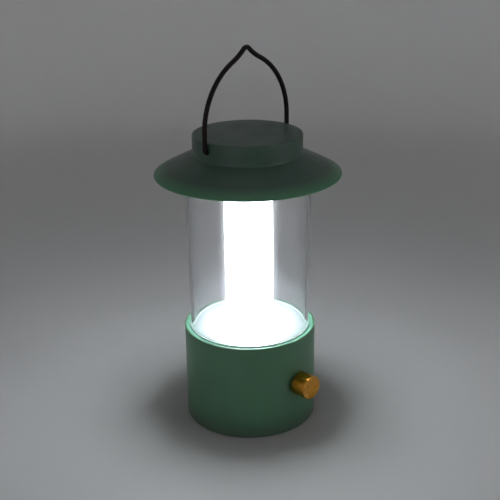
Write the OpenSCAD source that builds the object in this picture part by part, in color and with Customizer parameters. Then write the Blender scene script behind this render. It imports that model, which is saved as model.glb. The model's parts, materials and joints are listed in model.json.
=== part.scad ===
// Camping lantern: a metal drum with batteries and a dimmer, a clear chimney around a lit column,
// and a brimmed hat with a wire bail. All sizes are in millimetres.
// The origin is the centre of the underside, +Z is up, the knob points to -Y and the bail's feet lie on X.

/* [Base] */
// Outer radius of the drum
base_r = 43.65; // [43.2:0.05:44]
// Thickness of the drum's wall
base_wall = 1.6; // [1.2:0.1:1.6]
// Height of the drum's rim
base_top = 65; // [64.5:0.5:70]
// Depth of the deck below the rim
deck_depth = 0.8; // [0.7:0.1:1.4]
// Height of the rubber foot
foot_h = 2.2; // [2:0.1:3]

/* [Knob] */
// Radius of the dimmer knob
knob_r = 8; // [7.4:0.1:9]
// Distance of the knob's face from the lantern's axis
knob_reach = 55.5; // [54.5:0.5:58]
// Height of the knob's axis
knob_z = 34; // [34:0.5:36]

/* [Chimney] */
// Outer radius of the chimney at its foot
chimney_foot_r = 39.5; // [39.2:0.1:39.8]
// Outer radius of the chimney at its top
chimney_top_r = 40.8; // [39.5:0.1:41.2]
// Thickness of the chimney's wall
chimney_wall = 2.2; // [1.8:0.1:2.3]
// Height of the chimney's top edge
chimney_top = 171; // [169.5:0.5:171]

/* [Light column] */
// Outer radius of the diffuser tube
diffuser_r = 15.7; // [15.6:0.1:17]
// Thickness of the diffuser's wall
diffuser_wall = 1.5; // [1.2:0.1:1.5]
// Corner radius of the hexagonal core
core_r = 10; // [9.5:0.1:10]
// Lamps on each strip
chips_per_board = 9; // [4:1:10]

/* [Hat] */
// Radius of the crown
crown_r = 35.1; // [34.5:0.1:35.2]
// Height of the crown's flat top
hat_top = 195.2; // [195:0.1:198]
// Thickness of the hat's metal
hat_wall = 1.5; // [1.2:0.1:1.5]
// Height at which the crown meets the brim
brim_z = 182.7; // [182.5:0.1:183.2]
// Downward slope of the brim, in degrees
brim_slope = 26.5; // [26:0.5:27]
// Downward slope at the brim's edge, in degrees
brim_edge_slope = 31; // [30.5:0.1:31.5]
// Radius at which the brim starts to turn down
brim_bend_r = 52.3; // [51.8:0.1:52.8]

/* [Bail] */
// Diameter of the bail's wire
wire_d = 3; // [2.6:0.1:3]
// Height of the bail's pivot
pivot_z = 189.5; // [189.3:0.1:189.8]
// Distance of each leg's centreline from the lantern's axis
leg_x = 37.1; // [37.1:0.1:37.6]

/* [Hidden] */
$fn = 96;

// Margin by which a cutting shape passes the face that it cuts
cut = 1;
// Sides of a hexagonal bar, and of a wire's cross-section
hex_sides = 6;
wire_sides = 8;

// Metric screws: shaft radii, clearance, heads
m3_r = 1.5;
m3_clear_r = 1.65;
m3_head_r = 2.9;
m3_head_h = 1.3;
m4_r = 2;
m4_clear_r = 2.2;
drive_r = 1;
drive_depth = 0.9;

// Heights of the drum's layers
base_bottom = 0.6;
base_in_r = base_r - base_wall;
rim_round = 0.6;
cover_t = 2;
cover_top = foot_h + cover_t;
cover_gap = 0.1;
deck_t = 1.4;
deck_top = base_top - deck_depth;
deck_bottom = deck_top - deck_t;
deck_flange_h = 8;
deck_flange_t = 1.2;
foot_in_r = 37.3;
foot_out_r = 41.2;
foot_groove_r = 0.5;

// Pillars between the deck and the bottom cover, and standoffs that carry the board
pillar_x = 22;
pillar_y = 25;
pillar_r = 3.2;
pillar_screw_len = 8;
standoff_x = 14;
standoff_rows = [4, 30];
standoff_r = 2.8;
standoff_screw_len = 6;
board_screw_len = 7;

// Driver board and what is soldered to it
board_half_x = 17;
board_y0 = 0;
board_y1 = 37.8;
board_t = 1.6;
board_z = 40;
board_top = board_z + board_t;
coil_low = [-12, 13];
coil_size = [9, 9, 4.2];
coil_core_r = 3.6;
coil_core_h = 0.6;
// Chips on the board's upper and lower side: lowest X and Y, then width, depth and height
upper_chips = [[1, 16, 5, 4, 1.4], [-3, 26, 4, 4, 1]];
lower_chips = [[-11, 6, 6, 5, 1.4], [5, 6, 4, 4, 1.2]];
capacitor_columns = [-9, 6];
capacitor_y = 25.5;
capacitor_r = 2.5;
capacitor_h = 5.4;
connector_low = [8, 8];
connector_size = [7, 8, 6];

// Charging port, its rubber cover and its light pipe
port_z = 38.4;
port_half_w = 3.1;
port_end_r = 2.7;
socket_half_w = 2.9;
socket_end_r = 1.6;
socket_y0 = 34.6;
socket_y1 = 41.6;
socket_wall = 0.35;
socket_back = 1;
tongue_half_w = 2.9;
tongue_half_h = 0.35;
tongue_inset = 0.6;
flap_gap = 0.25;
flap_t = 1.4;
flap_half_h = 4;
flap_x0 = -8.4;
flap_x1 = 8;
flap_lip = 0.9;
flap_lip_w = 1.6;
flap_lip_half_h = 3;
plug_clear = 0.35;
plug_depth = 1.1;
anchor_x0 = -14;
anchor_x1 = -9.9;
anchor_half_h = 3.4;
anchor_pin_x = -12;
anchor_pin_r = 1.4;
anchor_barb = 0.7;
anchor_barb_t = 1.4;
pipe_z = 46;
pipe_r = 1.2;
pipe_y = 34;
pipe_proud = 0.3;
charge_led_size = [3, 2, 0.9];

// Battery holder and its two cells
holder_half_x = 36.5;
holder_half_y = 20.2;
holder_h = 21;
holder_wall = 1.4;
holder_floor = 2;
divider_t = 0.6;
divider_h = 6;
divider_x0 = 20;
divider_x1 = 30;
finger_gap_half_x = 12;
cell_r = 9.2;
cell_len = 64;
cell_y = 9.55;
cell_z = cover_top + holder_floor + cell_r + 0.1;
nub_r = 3;
nub_h = 1;
tab_t = 0.5;
tab_half = 7;
bay_half_x = holder_half_x - holder_wall;
spring_wire_r = 0.5;
spring_r = 4;
spring_turns = 3;
spring_steps = 12;
spring_sides = 6;
holder_screw_x = 15;

// Dimmer: a rotary control on a threaded bushing through the drum's wall
dimmer_r = 8.2;
dimmer_front = 40.9;
dimmer_back = 32.5;
shaft_r = 3;
shaft_run = 0.05;
shaft_back = 35;
shaft_tip = 53;
shaft_flat = 2.4;
bushing_r = 3.5;
bushing_tip = 47.2;
bushing_clear_r = 3.6;
bushing_flange = 1.5;
bushing_flange_t = 0.6;
dimmer_bore_gap = 0.5;
terminal_columns = [-5, 0, 5];
terminal_half_w = 0.8;
terminal_half_t = 0.3;
terminal_len = 2.6;
washer_face = base_r + 0.05;
washer_t = 0.5;
nut_r = 5.7;
nut_h = 2;
knob_gap = 0.6;
knob_hollow_r = 6.6;
knob_hollow_y = 47.8;
knob_chamfer = 0.5;
knob_back_chamfer = 0.3;
set_screw_y = 50.4;
set_screw_z0 = 7.4;
set_screw_drive_r = 0.8;
set_screw_drive_depth = 1.5;

// Light column
reflector_t = 0.8;
reflector_r = chimney_foot_r - chimney_wall - 0.4;
reflector_top = deck_top + reflector_t;
column_foot_h = 3;
column_foot_r = diffuser_r - diffuser_wall - 0.1;
core_z0 = reflector_top + column_foot_h;
core_z1 = 167.5;
core_wall = 1.8;
flat_r = core_r * cos(30);
led_board_w = 8;
led_board_t = 1;
led_board_z0 = core_z0 + 4;
led_board_z1 = core_z1 - 2;
chip_size = [0.8, 2.8, 3.5];
cap_top = chimney_top + 1;
cap_t = 2;
cap_spigot_h = 2.3;
column_screw_r = 11.6;
column_screw_angles = [90, 210, 330];
lead_hole = [10.4, 6];
lead_hole_r = 1.8;

// Tie rod through the column, from under the deck into the hat
rod_z0 = 56.5;
rod_z1 = 184;
rod_washer_t = 1;
rod_washer_r = 6;
rod_nut_r = 4;
rod_nut_h = 3.2;

// Chimney seals and the plate that closes the chimney under the hat
seal_t = 1;
lower_seal_out = 0.4;
lower_seal_in = 0.3;
upper_seal_side = 0.5;
chimney_z0 = deck_top + seal_t;
ceiling_z = chimney_top + seal_t;
ceiling_t = 1.2;
ceiling_r = 44.5;
ceiling_rim_h = 3;
boss_r = 8;
boss_bore_top = 186;

// Hat profile
crown_round = 1;
crown_fillet = 1.5;
brim_bend = 105;
lip_r = 0.8;
lip_turn = 200;
pivot_hole_r = wire_d / 2 + 0.08;

// Bail: pins, foot bends, legs, two side arcs, two reversed arcs and the tip
wire_r = wire_d / 2;
joint_proud = 0.01;
foot_bend = 2.1;
pin_end = 31.4;
leg_top = 201;
side_r = 44.5;
side_sweep = 64;
reverse_r = 40;
reverse_sweep = 17;
retainer_x = 32.4;
retainer_t = 0.6;
retainer_r = 3.2;

// Thin leads: the rows and the place where the battery's leads enter their connector, and each route
lead_r = 0.5;
lead_rows = [10.5, 13.5];
lead_end_x = 13;
lead_end_z = 44.6;
lead_socket_r = 1;
led_lead_side = 0.75;
red_route = [[34.1, 9, 20.6], [34.1, 9, 27], [32.5, 10, 33], [29, 11, 39], [25, 12, 43],
             [21, 13, lead_end_z], [17, 13.5, lead_end_z], [lead_end_x, 13.5, lead_end_z]];
black_route = [[34.1, -9, 20.6], [34.1, -8, 27], [32.5, -4, 33], [29.5, 2, 39], [26, 7, 43],
               [21, 10, lead_end_z], [17, 10.5, lead_end_z], [lead_end_x, 10.5, lead_end_z]];
led_route = [[10.4, 3, board_top], [10.4, 3.4, 47], [10.4, 5, 54], [10.4, 6, 60], [10.4, 6, 66],
             [10.2, 5.9, 70], [8.83, 5.1, 73.5]];
dimmer_route = [[0, -29.9, knob_z], [0, -24, 34.5], [0, -14, 38], [0, -6, 40.6], [0, 0, 40.8]];

// Colours
GREEN = "#41604f";
BRASS = "#b58a3a";
STEEL = "#9a9da0";
DARK_WIRE = "#1f1a18";
WHITE = "#e9ecea";
BLACK = "#222426";
BOARD = "#1d5a34";
CLEAR = [0.85, 0.9, 0.92, 0.35];
LAMP = "#f4d977";
DIFFUSER = "#fbfdff";
CELL_BLUE = "#2f6db0";
RED = "#b02a22";
YELLOW = "#c9a227";

// ---------- general shapes ----------

// Points of an arc about [cx, cy] from angle a0 to a1
function arc(cx, cy, r, a0, a1, n = 10) =
    [for (i = [0:n]) let (a = a0 + (a1 - a0) * i / n) [cx + r * cos(a), cy + r * sin(a)]];

// A ring, or a disc when the inner radius is 0
module ring(r_out, r_in, z0, z1)
{
    translate([0, 0, z0])
    difference()
    {
        cylinder(r = r_out, h = z1 - z0);
        if (r_in > 0) translate([0, 0, -cut]) cylinder(r = r_in, h = z1 - z0 + 2 * cut);
    }
}

// A box from one corner to the other
module block(low, high)
{
    translate(low) cube(high - low);
}

// A round bar along -Y from y = -from to y = -to, at the knob's height
module front_bar(r, from, to, sides = $fn)
{
    translate([0, -from, knob_z]) rotate([90, 0, 0]) cylinder(r = r, h = to - from, $fn = sides);
}

// Both sides of X, and both of Y
module mirrored_x() { children(); mirror([1, 0, 0]) children(); }
module mirrored_y() { children(); mirror([0, 1, 0]) children(); }

// A countersunk screw whose head's flat face is at z = 0 and whose shaft points down
module countersunk_screw(len)
{
    difference()
    {
        union()
        {
            translate([0, 0, -m3_head_h]) cylinder(r1 = m3_r, r2 = m3_head_r, h = m3_head_h);
            translate([0, 0, -len]) cylinder(r = m3_r, h = len - m3_head_h);
        }
        translate([0, 0, -drive_depth]) cylinder(r = drive_r, h = drive_depth + cut, $fn = hex_sides);
    }
}

// The hole for a countersunk screw in a plate of thickness t below z = 0
module countersunk_hole(t)
{
    translate([0, 0, -m3_head_h]) cylinder(r1 = m3_r, r2 = m3_head_r, h = m3_head_h);
    translate([0, 0, -t - cut]) cylinder(r = m3_clear_r, h = t + 2 * cut);
}

// A pan-head screw: its head stands above z = 0 and its shaft points down
module pan_screw(len, head_r = 2.4, head_h = 1.6)
{
    difference()
    {
        union()
        {
            cylinder(r = head_r, h = head_h);
            translate([0, 0, -len]) cylinder(r = m3_r, h = len + head_h / 2);
        }
        translate([0, 0, head_h - drive_depth]) cylinder(r = drive_r, h = drive_depth + cut, $fn = hex_sides);
    }
}

// A closed tube swept along a list of points
function unit(v) = v / norm(v);
function heading(p, i) = unit(p[min(i + 1, len(p) - 1)] - p[max(i - 1, 0)]);
function sides_of(p, i = 0, last = [0.3, 0.5, 0.8], found = []) =
    i == len(p) ? found :
    let (t = heading(p, i), s = unit(last - (last * t) * t)) sides_of(p, i + 1, s, concat(found, [s]));

module swept_tube(p, r, n = wire_sides)
{
    across = sides_of(p);
    points = [for (i = [0:len(p) - 1]) for (k = [0:n - 1])
              let (a = 360 * k / n, up = cross(heading(p, i), across[i]))
              p[i] + r * (cos(a) * across[i] + sin(a) * up)];
    walls = [for (i = [0:len(p) - 2]) for (k = [0:n - 1])
             [i * n + k, (i + 1) * n + k, (i + 1) * n + (k + 1) % n, i * n + (k + 1) % n]];
    first = [[for (k = [0:n - 1]) k]];
    last = [[for (k = [n - 1:-1:0]) (len(p) - 1) * n + k]];
    polyhedron(points = points, faces = concat(first, walls, last));
}

// A smooth curve through a wire's own route points, with four steps to each stretch
function along(p, i, u) =
    let (a = p[max(i - 1, 0)], b = p[i], c = p[i + 1], d = p[min(i + 2, len(p) - 1)])
    0.5 * (2 * b + (c - a) * u + (2 * a - 5 * b + 4 * c - d) * u * u
           + (3 * b - a - 3 * c + d) * u * u * u);
function smooth(p) =
    concat([for (i = [0:len(p) - 2]) for (k = [0:3]) along(p, i, k / 4)], [p[len(p) - 1]]);

// ---------- drum ----------

// A slot with round ends, drawn in XZ at the charging port and cut or grown along +Y
module port_slot(half_w, end_r, y0, y1)
{
    translate([0, y1, port_z]) rotate([90, 0, 0]) linear_extrude(y1 - y0)
    {
        mirrored_x() translate([half_w, 0]) circle(r = end_r, $fn = 48);
        square([2 * half_w, 2 * end_r], center = true);
    }
}

// A round bar along Y through the drum's rear wall, at a given x and z
module rear_bar(x, z, r)
{
    translate([x, base_r + cut, z]) rotate([90, 0, 0]) cylinder(r = r, h = 9);
}

module base_shell()
{
    wall = concat(
        [[base_in_r, base_bottom], [base_r, base_bottom]],
        arc(base_r - rim_round, base_top - rim_round, rim_round, 0, 90, 6),
        arc(base_in_r + rim_round, base_top - rim_round, rim_round, 90, 180, 6));
    color(GREEN)
    difference()
    {
        rotate_extrude($fn = 180) polygon(wall);
        front_bar(bushing_clear_r, base_in_r - cut, base_r + cut);
        port_slot(port_half_w, port_end_r, base_in_r - cut, base_r + cut);
        rear_bar(0, pipe_z, pipe_r);
        rear_bar(anchor_pin_x, port_z, anchor_pin_r);
    }
}

// The hole that the column's two leads pass through, in a plate between two heights
module lead_cut(z0, z1)
{
    translate([lead_hole.x, lead_hole.y, z0 - cut]) cylinder(r = lead_hole_r, h = z1 - z0 + 2 * cut);
}

module deck_plate()
{
    color(GREEN)
    difference()
    {
        union()
        {
            ring(base_in_r, 0, deck_bottom, deck_top);
            ring(base_in_r, base_in_r - deck_flange_t, deck_top - deck_flange_h, deck_top);
        }
        translate([0, 0, deck_bottom - cut]) cylinder(r = m4_clear_r, h = deck_t + 2 * cut);
        lead_cut(deck_bottom, deck_top);
        translate([0, 0, deck_top]) at_deck_screws() countersunk_hole(deck_t);
        at_column_screws() translate([0, 0, deck_bottom - cut]) cylinder(r = m3_r, h = deck_t + 2 * cut);
    }
}

module at_pillars() { mirrored_x() mirrored_y() translate([pillar_x, pillar_y, 0]) children(); }

module at_standoffs()
{
    for (y = standoff_rows) mirrored_x() translate([standoff_x, y, 0]) children();
}

module at_deck_screws()
{
    at_pillars() children();
    at_standoffs() children();
}

module deck_screws()
{
    color(STEEL) translate([0, 0, deck_top]) at_deck_screws() countersunk_screw(standoff_screw_len);
}

module bottom_cover()
{
    color(BLACK)
    difference()
    {
        ring(base_in_r - cover_gap, 0, foot_h, cover_top);
        translate([0, 0, foot_h]) at_pillars() mirror([0, 0, 1]) countersunk_hole(cover_t);
        at_holder_screws() translate([0, 0, foot_h - cut]) cylinder(r = m3_r, h = cover_t + 2 * cut);
    }
}

module foot_ring()
{
    groove_at = (foot_in_r + foot_out_r) / 2;
    color(BLACK)
    difference()
    {
        ring(foot_out_r, foot_in_r, 0, foot_h);
        rotate_extrude() translate([groove_at, 0]) circle(r = foot_groove_r, $fn = 24);
    }
}

module cover_screws()
{
    color(STEEL) translate([0, 0, foot_h]) at_pillars() mirror([0, 0, 1]) countersunk_screw(pillar_screw_len);
}

module cover_pillars()
{
    color(STEEL)
    at_pillars() difference()
    {
        translate([0, 0, cover_top]) cylinder(r = pillar_r, h = deck_bottom - cover_top, $fn = hex_sides);
        translate([0, 0, cover_top - cut]) cylinder(r = m3_r, h = deck_bottom - cover_top + 2 * cut);
    }
}

// ---------- driver board ----------

module board_standoffs()
{
    color(BRASS)
    at_standoffs() difference()
    {
        translate([0, 0, board_top]) cylinder(r = standoff_r, h = deck_bottom - board_top, $fn = hex_sides);
        translate([0, 0, board_top - cut]) cylinder(r = m3_r, h = deck_bottom - board_top + 2 * cut);
    }
}

module board_screws()
{
    color(STEEL) translate([0, 0, board_z]) mirror([0, 0, 1]) at_standoffs() pan_screw(board_screw_len);
}

module driver_board()
{
    color(BOARD)
    difference()
    {
        block([-board_half_x, board_y0, board_z], [board_half_x, board_y1, board_top]);
        at_standoffs() translate([0, 0, board_z - cut]) cylinder(r = m3_clear_r, h = board_t + 2 * cut);
    }
}

module power_inductor()
{
    color(BLACK)
    {
        translate([coil_low.x, coil_low.y, board_top]) cube(coil_size);
        translate([coil_low.x + coil_size.x / 2, coil_low.y + coil_size.y / 2, board_top + coil_size.z])
            cylinder(r = coil_core_r, h = coil_core_h);
    }
}

module board_chips()
{
    color(BLACK)
    {
        for (c = upper_chips) translate([c[0], c[1], board_top]) cube([c[2], c[3], c[4]]);
        for (c = lower_chips) translate([c[0], c[1], board_z - c[4]]) cube([c[2], c[3], c[4]]);
    }
}

module board_capacitors()
{
    color(STEEL) for (x = capacitor_columns)
        translate([x, capacitor_y, board_top]) cylinder(r = capacitor_r, h = capacitor_h);
}

module battery_connector()
{
    color(WHITE)
    difference()
    {
        translate([connector_low.x, connector_low.y, board_top]) cube(connector_size);
        for (y = lead_rows) translate([lead_end_x, y, lead_end_z]) rotate([0, 90, 0])
            cylinder(r = lead_socket_r, h = connector_low.x + connector_size.x - lead_end_x + cut);
    }
}

module usb_socket()
{
    color(STEEL)
    difference()
    {
        port_slot(socket_half_w, socket_end_r, socket_y0, socket_y1);
        port_slot(socket_half_w, socket_end_r - socket_wall, socket_y0 + socket_back, socket_y1 + cut);
    }
    color(BLACK) block([-tongue_half_w, socket_y0 + socket_back, port_z - tongue_half_h],
                       [tongue_half_w, socket_y1 - tongue_inset, port_z + tongue_half_h]);
}

module charge_led()
{
    size = charge_led_size;
    color(WHITE) translate([-size.x / 2, pipe_y - size.y / 2, board_top]) cube(size);
}

module charge_light_pipe()
{
    pipe_foot = board_top + charge_led_size.z + 0.1;
    color(CLEAR)
    intersection()
    {
        union()
        {
            translate([0, pipe_y, pipe_z]) rotate([-90, 0, 0])
                cylinder(r = pipe_r, h = base_r - pipe_y + cut);
            translate([0, pipe_y, pipe_foot]) cylinder(r = pipe_r, h = pipe_z - pipe_foot);
            translate([0, pipe_y, pipe_z]) sphere(r = pipe_r, $fn = 32);
        }
        ring(base_r + pipe_proud, 0, 0, base_top);
    }
}

// A stretch of curved plate on the drum's rear wall, between two values of X
module rear_plate(x0, x1, half_h, r0, r1)
{
    intersection()
    {
        ring(r1, r0, port_z - half_h, port_z + half_h);
        block([x0, 0, 0], [x1, 2 * base_r, base_top]);
    }
}

module port_cover()
{
    inner_r = base_r + flap_gap;
    face_r = inner_r + flap_t;
    color(BLACK)
    {
        rear_plate(flap_x0, flap_x1, flap_half_h, inner_r, face_r);
        rear_plate(flap_x1 - flap_lip_w, flap_x1, flap_lip_half_h, face_r, face_r + flap_lip);
        intersection()
        {
            port_slot(port_half_w - plug_clear, port_end_r - plug_clear, socket_y1, inner_r);
            ring(inner_r + flap_gap, inner_r - plug_depth, 0, base_top);
        }
    }
}

module port_cover_anchor()
{
    color(BLACK)
    {
        rear_plate(anchor_x0, anchor_x1, anchor_half_h, base_r, base_r + flap_t);
        intersection()
        {
            rear_bar(anchor_pin_x, port_z, anchor_pin_r);
            ring(base_r + flap_t / 2, base_in_r - anchor_barb_t, 0, base_top);
        }
        intersection()
        {
            rear_bar(anchor_pin_x, port_z, anchor_pin_r + anchor_barb);
            ring(base_in_r, base_in_r - anchor_barb_t, 0, base_top);
        }
    }
}

// ---------- battery ----------

module at_holder_screws() { mirrored_x() translate([holder_screw_x, 0, 0]) children(); }

module battery_holder()
{
    holder_top = cover_top + holder_h;
    inner_x = bay_half_x;
    inner_y = holder_half_y - holder_wall;
    floor_z = cover_top + holder_floor;
    color(BLACK)
    difference()
    {
        block([-holder_half_x, -holder_half_y, cover_top], [holder_half_x, holder_half_y, holder_top]);
        difference()
        {
            block([-inner_x, -inner_y, floor_z], [inner_x, inner_y, holder_top + cut]);
            mirrored_x() block([divider_x0, -divider_t / 2, floor_z - cut],
                               [divider_x1, divider_t / 2, floor_z + divider_h]);
        }
        block([-finger_gap_half_x, -holder_half_y - cut, cell_z],
              [finger_gap_half_x, holder_half_y + cut, holder_top + cut]);
        at_holder_screws() translate([0, 0, cover_top - cut])
            cylinder(r = m3_clear_r, h = holder_floor + 2 * cut);
    }
}

// The cells lie opposite ways, so each shape is drawn for one and turned half round for the other
module each_cell()
{
    children();
    rotate([0, 0, 180]) children();
}

module battery_cells()
{
    cell_x1 = bay_half_x - tab_t - nub_h;
    color(CELL_BLUE)
    each_cell() translate([cell_x1 - cell_len, cell_y, cell_z]) rotate([0, 90, 0])
    {
        cylinder(r = cell_r, h = cell_len);
        translate([0, 0, cell_len]) cylinder(r = nub_r, h = nub_h);
    }
}

module cell_springs()
{
    room = 2 * bay_half_x - tab_t - nub_h - cell_len - tab_t;
    turns_total = spring_turns * spring_steps;
    x0 = -bay_half_x + tab_t + spring_wire_r;
    pitch = (room - 2 * spring_wire_r) / turns_total;
    coil = [for (i = [0:turns_total]) let (a = i * 360 / spring_steps)
            [x0 + i * pitch, cell_y + spring_r * cos(a), cell_z + spring_r * sin(a)]];
    color(STEEL) each_cell() swept_tube(coil, spring_wire_r, spring_sides);
}

module cell_tabs()
{
    color(STEEL)
    each_cell() for (x = [-bay_half_x, bay_half_x - tab_t])
        block([x, cell_y - tab_half, cell_z - tab_half], [x + tab_t, cell_y + tab_half, cell_z + tab_half]);
}

module holder_screws()
{
    color(STEEL)
    translate([0, 0, cover_top + holder_floor]) at_holder_screws() pan_screw(holder_floor + cover_t);
}

// ---------- dimmer and knob ----------

module dimmer_body()
{
    color(STEEL)
    difference()
    {
        front_bar(dimmer_r, dimmer_back, dimmer_front);
        front_bar(shaft_r + dimmer_bore_gap, shaft_back - dimmer_bore_gap, dimmer_front + cut);
    }
}

module dimmer_bushing()
{
    color(BRASS)
    difference()
    {
        union()
        {
            front_bar(bushing_r, dimmer_front, bushing_tip);
            front_bar(bushing_r + bushing_flange, dimmer_front, dimmer_front + bushing_flange_t);
        }
        front_bar(shaft_r + shaft_run, dimmer_front - cut, bushing_tip + cut);
    }
}

module dimmer_washer()
{
    color(STEEL)
    difference()
    {
        front_bar(nut_r, washer_face, washer_face + washer_t);
        front_bar(bushing_r, washer_face - cut, washer_face + washer_t + cut);
    }
}

module dimmer_nut()
{
    nut_face = washer_face + washer_t;
    color(STEEL)
    difference()
    {
        front_bar(nut_r, nut_face, nut_face + nut_h, hex_sides);
        front_bar(bushing_r, nut_face - cut, nut_face + nut_h + cut);
    }
}

module dimmer_terminals()
{
    color(BRASS) for (x = terminal_columns)
        block([x - terminal_half_w, -dimmer_back, knob_z - terminal_half_t],
              [x + terminal_half_w, -dimmer_back + terminal_len, knob_z + terminal_half_t]);
}

module dimmer_shaft()
{
    flat_z = knob_z - shaft_flat;
    color(STEEL)
    difference()
    {
        front_bar(shaft_r, shaft_back, shaft_tip);
        block([-shaft_r, -shaft_tip - cut, knob_z - shaft_r - cut], [shaft_r, -knob_hollow_y, flat_z]);
    }
}

module knob()
{
    knob_back = base_r + knob_gap;
    profile = [[0, 0], [knob_r - knob_back_chamfer, 0], [knob_r, knob_back_chamfer],
               [knob_r, knob_reach - knob_back - knob_chamfer],
               [knob_r - knob_chamfer, knob_reach - knob_back],
               [0, knob_reach - knob_back]];
    color(BRASS)
    difference()
    {
        translate([0, -knob_back, knob_z]) rotate([90, 0, 0]) rotate_extrude() polygon(profile);
        front_bar(knob_hollow_r, knob_back - cut, knob_hollow_y);
        front_bar(shaft_r, knob_back - cut, shaft_tip);
        translate([0, -set_screw_y, knob_z - 10]) cylinder(r = m3_r, h = 10, $fn = 32);
    }
}

module knob_set_screw()
{
    color(STEEL)
    difference()
    {
        translate([0, -set_screw_y, knob_z - set_screw_z0])
            cylinder(r = m3_r, h = set_screw_z0 - shaft_flat, $fn = 32);
        translate([0, -set_screw_y, knob_z - set_screw_z0 - cut])
            cylinder(r = set_screw_drive_r, h = cut + set_screw_drive_depth, $fn = hex_sides);
    }
}

// ---------- light column ----------

module at_column_screws()
{
    for (a = column_screw_angles) rotate([0, 0, a]) translate([column_screw_r, 0, 0]) children();
}

module reflector_plate()
{
    color(WHITE)
    difference()
    {
        ring(reflector_r, m4_clear_r, deck_top, reflector_top);
        lead_cut(deck_top, reflector_top);
        at_column_screws() translate([0, 0, deck_top - cut])
            cylinder(r = m3_clear_r, h = reflector_t + 2 * cut);
    }
}

module column_foot()
{
    color(STEEL)
    difference()
    {
        ring(column_foot_r, m4_clear_r, reflector_top, core_z0);
        lead_cut(reflector_top, core_z0);
        at_column_screws() translate([0, 0, reflector_top - cut])
            cylinder(r = m3_clear_r, h = column_foot_h + 2 * cut);
    }
}

module column_screws()
{
    screw_len = core_z0 - deck_bottom;
    color(STEEL) translate([0, 0, core_z0]) at_column_screws() pan_screw(screw_len);
}

module led_core()
{
    core_h = core_z1 - core_z0;
    color(STEEL)
    translate([0, 0, core_z0])
    difference()
    {
        cylinder(r = core_r, h = core_h, $fn = hex_sides);
        translate([0, 0, -cut]) cylinder(r = core_r - core_wall, h = core_h + 2 * cut, $fn = hex_sides);
    }
}

// One flat of the core after another, each turned to lie along +X
module each_flat()
{
    for (a = [30:60:330]) rotate([0, 0, a]) children();
}

module led_boards()
{
    half = led_board_w / 2;
    color(WHITE) each_flat()
        block([flat_r, -half, led_board_z0], [flat_r + led_board_t, half, led_board_z1]);
}

module led_chips()
{
    pitch = (led_board_z1 - led_board_z0) / chips_per_board;
    color(LAMP)
    each_flat() for (i = [0:chips_per_board - 1])
        translate([flat_r + led_board_t + chip_size.x / 2, 0, led_board_z0 + (i + 0.5) * pitch])
            cube(chip_size, center = true);
}

module diffuser_tube()
{
    color(DIFFUSER) ring(diffuser_r, diffuser_r - diffuser_wall, reflector_top, cap_top - cap_t);
}

module column_cap()
{
    cap_z = cap_top - cap_t;
    color(WHITE)
    {
        ring(diffuser_r, m4_clear_r, cap_z, cap_top);
        ring(column_foot_r, m4_clear_r, cap_z - cap_spigot_h, cap_z);
    }
}

module tie_rod()
{
    color(STEEL) ring(m4_r, 0, rod_z0, rod_z1);
}

module rod_washer()
{
    color(STEEL) ring(rod_washer_r, m4_clear_r, deck_bottom - rod_washer_t, deck_bottom);
}

module rod_nut()
{
    nut_top = deck_bottom - rod_washer_t;
    color(STEEL)
    difference()
    {
        translate([0, 0, nut_top - rod_nut_h]) cylinder(r = rod_nut_r, h = rod_nut_h, $fn = hex_sides);
        translate([0, 0, nut_top - rod_nut_h - cut]) cylinder(r = m4_r, h = rod_nut_h + 2 * cut);
    }
}

// ---------- chimney ----------

module lower_seal()
{
    inner_r = chimney_foot_r - chimney_wall - lower_seal_in;
    color(CLEAR) ring(chimney_foot_r + lower_seal_out, inner_r, deck_top, chimney_z0);
}

module chimney()
{
    color(CLEAR)
    rotate_extrude($fn = 180)
    polygon([[chimney_foot_r - chimney_wall, chimney_z0], [chimney_foot_r, chimney_z0],
             [chimney_top_r, chimney_top], [chimney_top_r - chimney_wall, chimney_top]]);
}

module upper_seal()
{
    inner_r = chimney_top_r - chimney_wall - upper_seal_side;
    color(CLEAR) ring(chimney_top_r + upper_seal_side, inner_r, chimney_top, ceiling_z);
}

module ceiling_plate()
{
    color(WHITE)
    {
        ring(ceiling_r, m4_clear_r, ceiling_z, ceiling_z + ceiling_t);
        ring(ceiling_r, ceiling_r - ceiling_t, ceiling_z - ceiling_rim_h, ceiling_z);
    }
}

// ---------- hat ----------

module hat_boss()
{
    boss_z = ceiling_z + ceiling_t;
    color(STEEL)
    difference()
    {
        ring(boss_r, 0, boss_z, hat_top - hat_wall);
        translate([0, 0, boss_z - cut]) cylinder(r = m4_r, h = boss_bore_top - boss_z + cut);
    }
}

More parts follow.
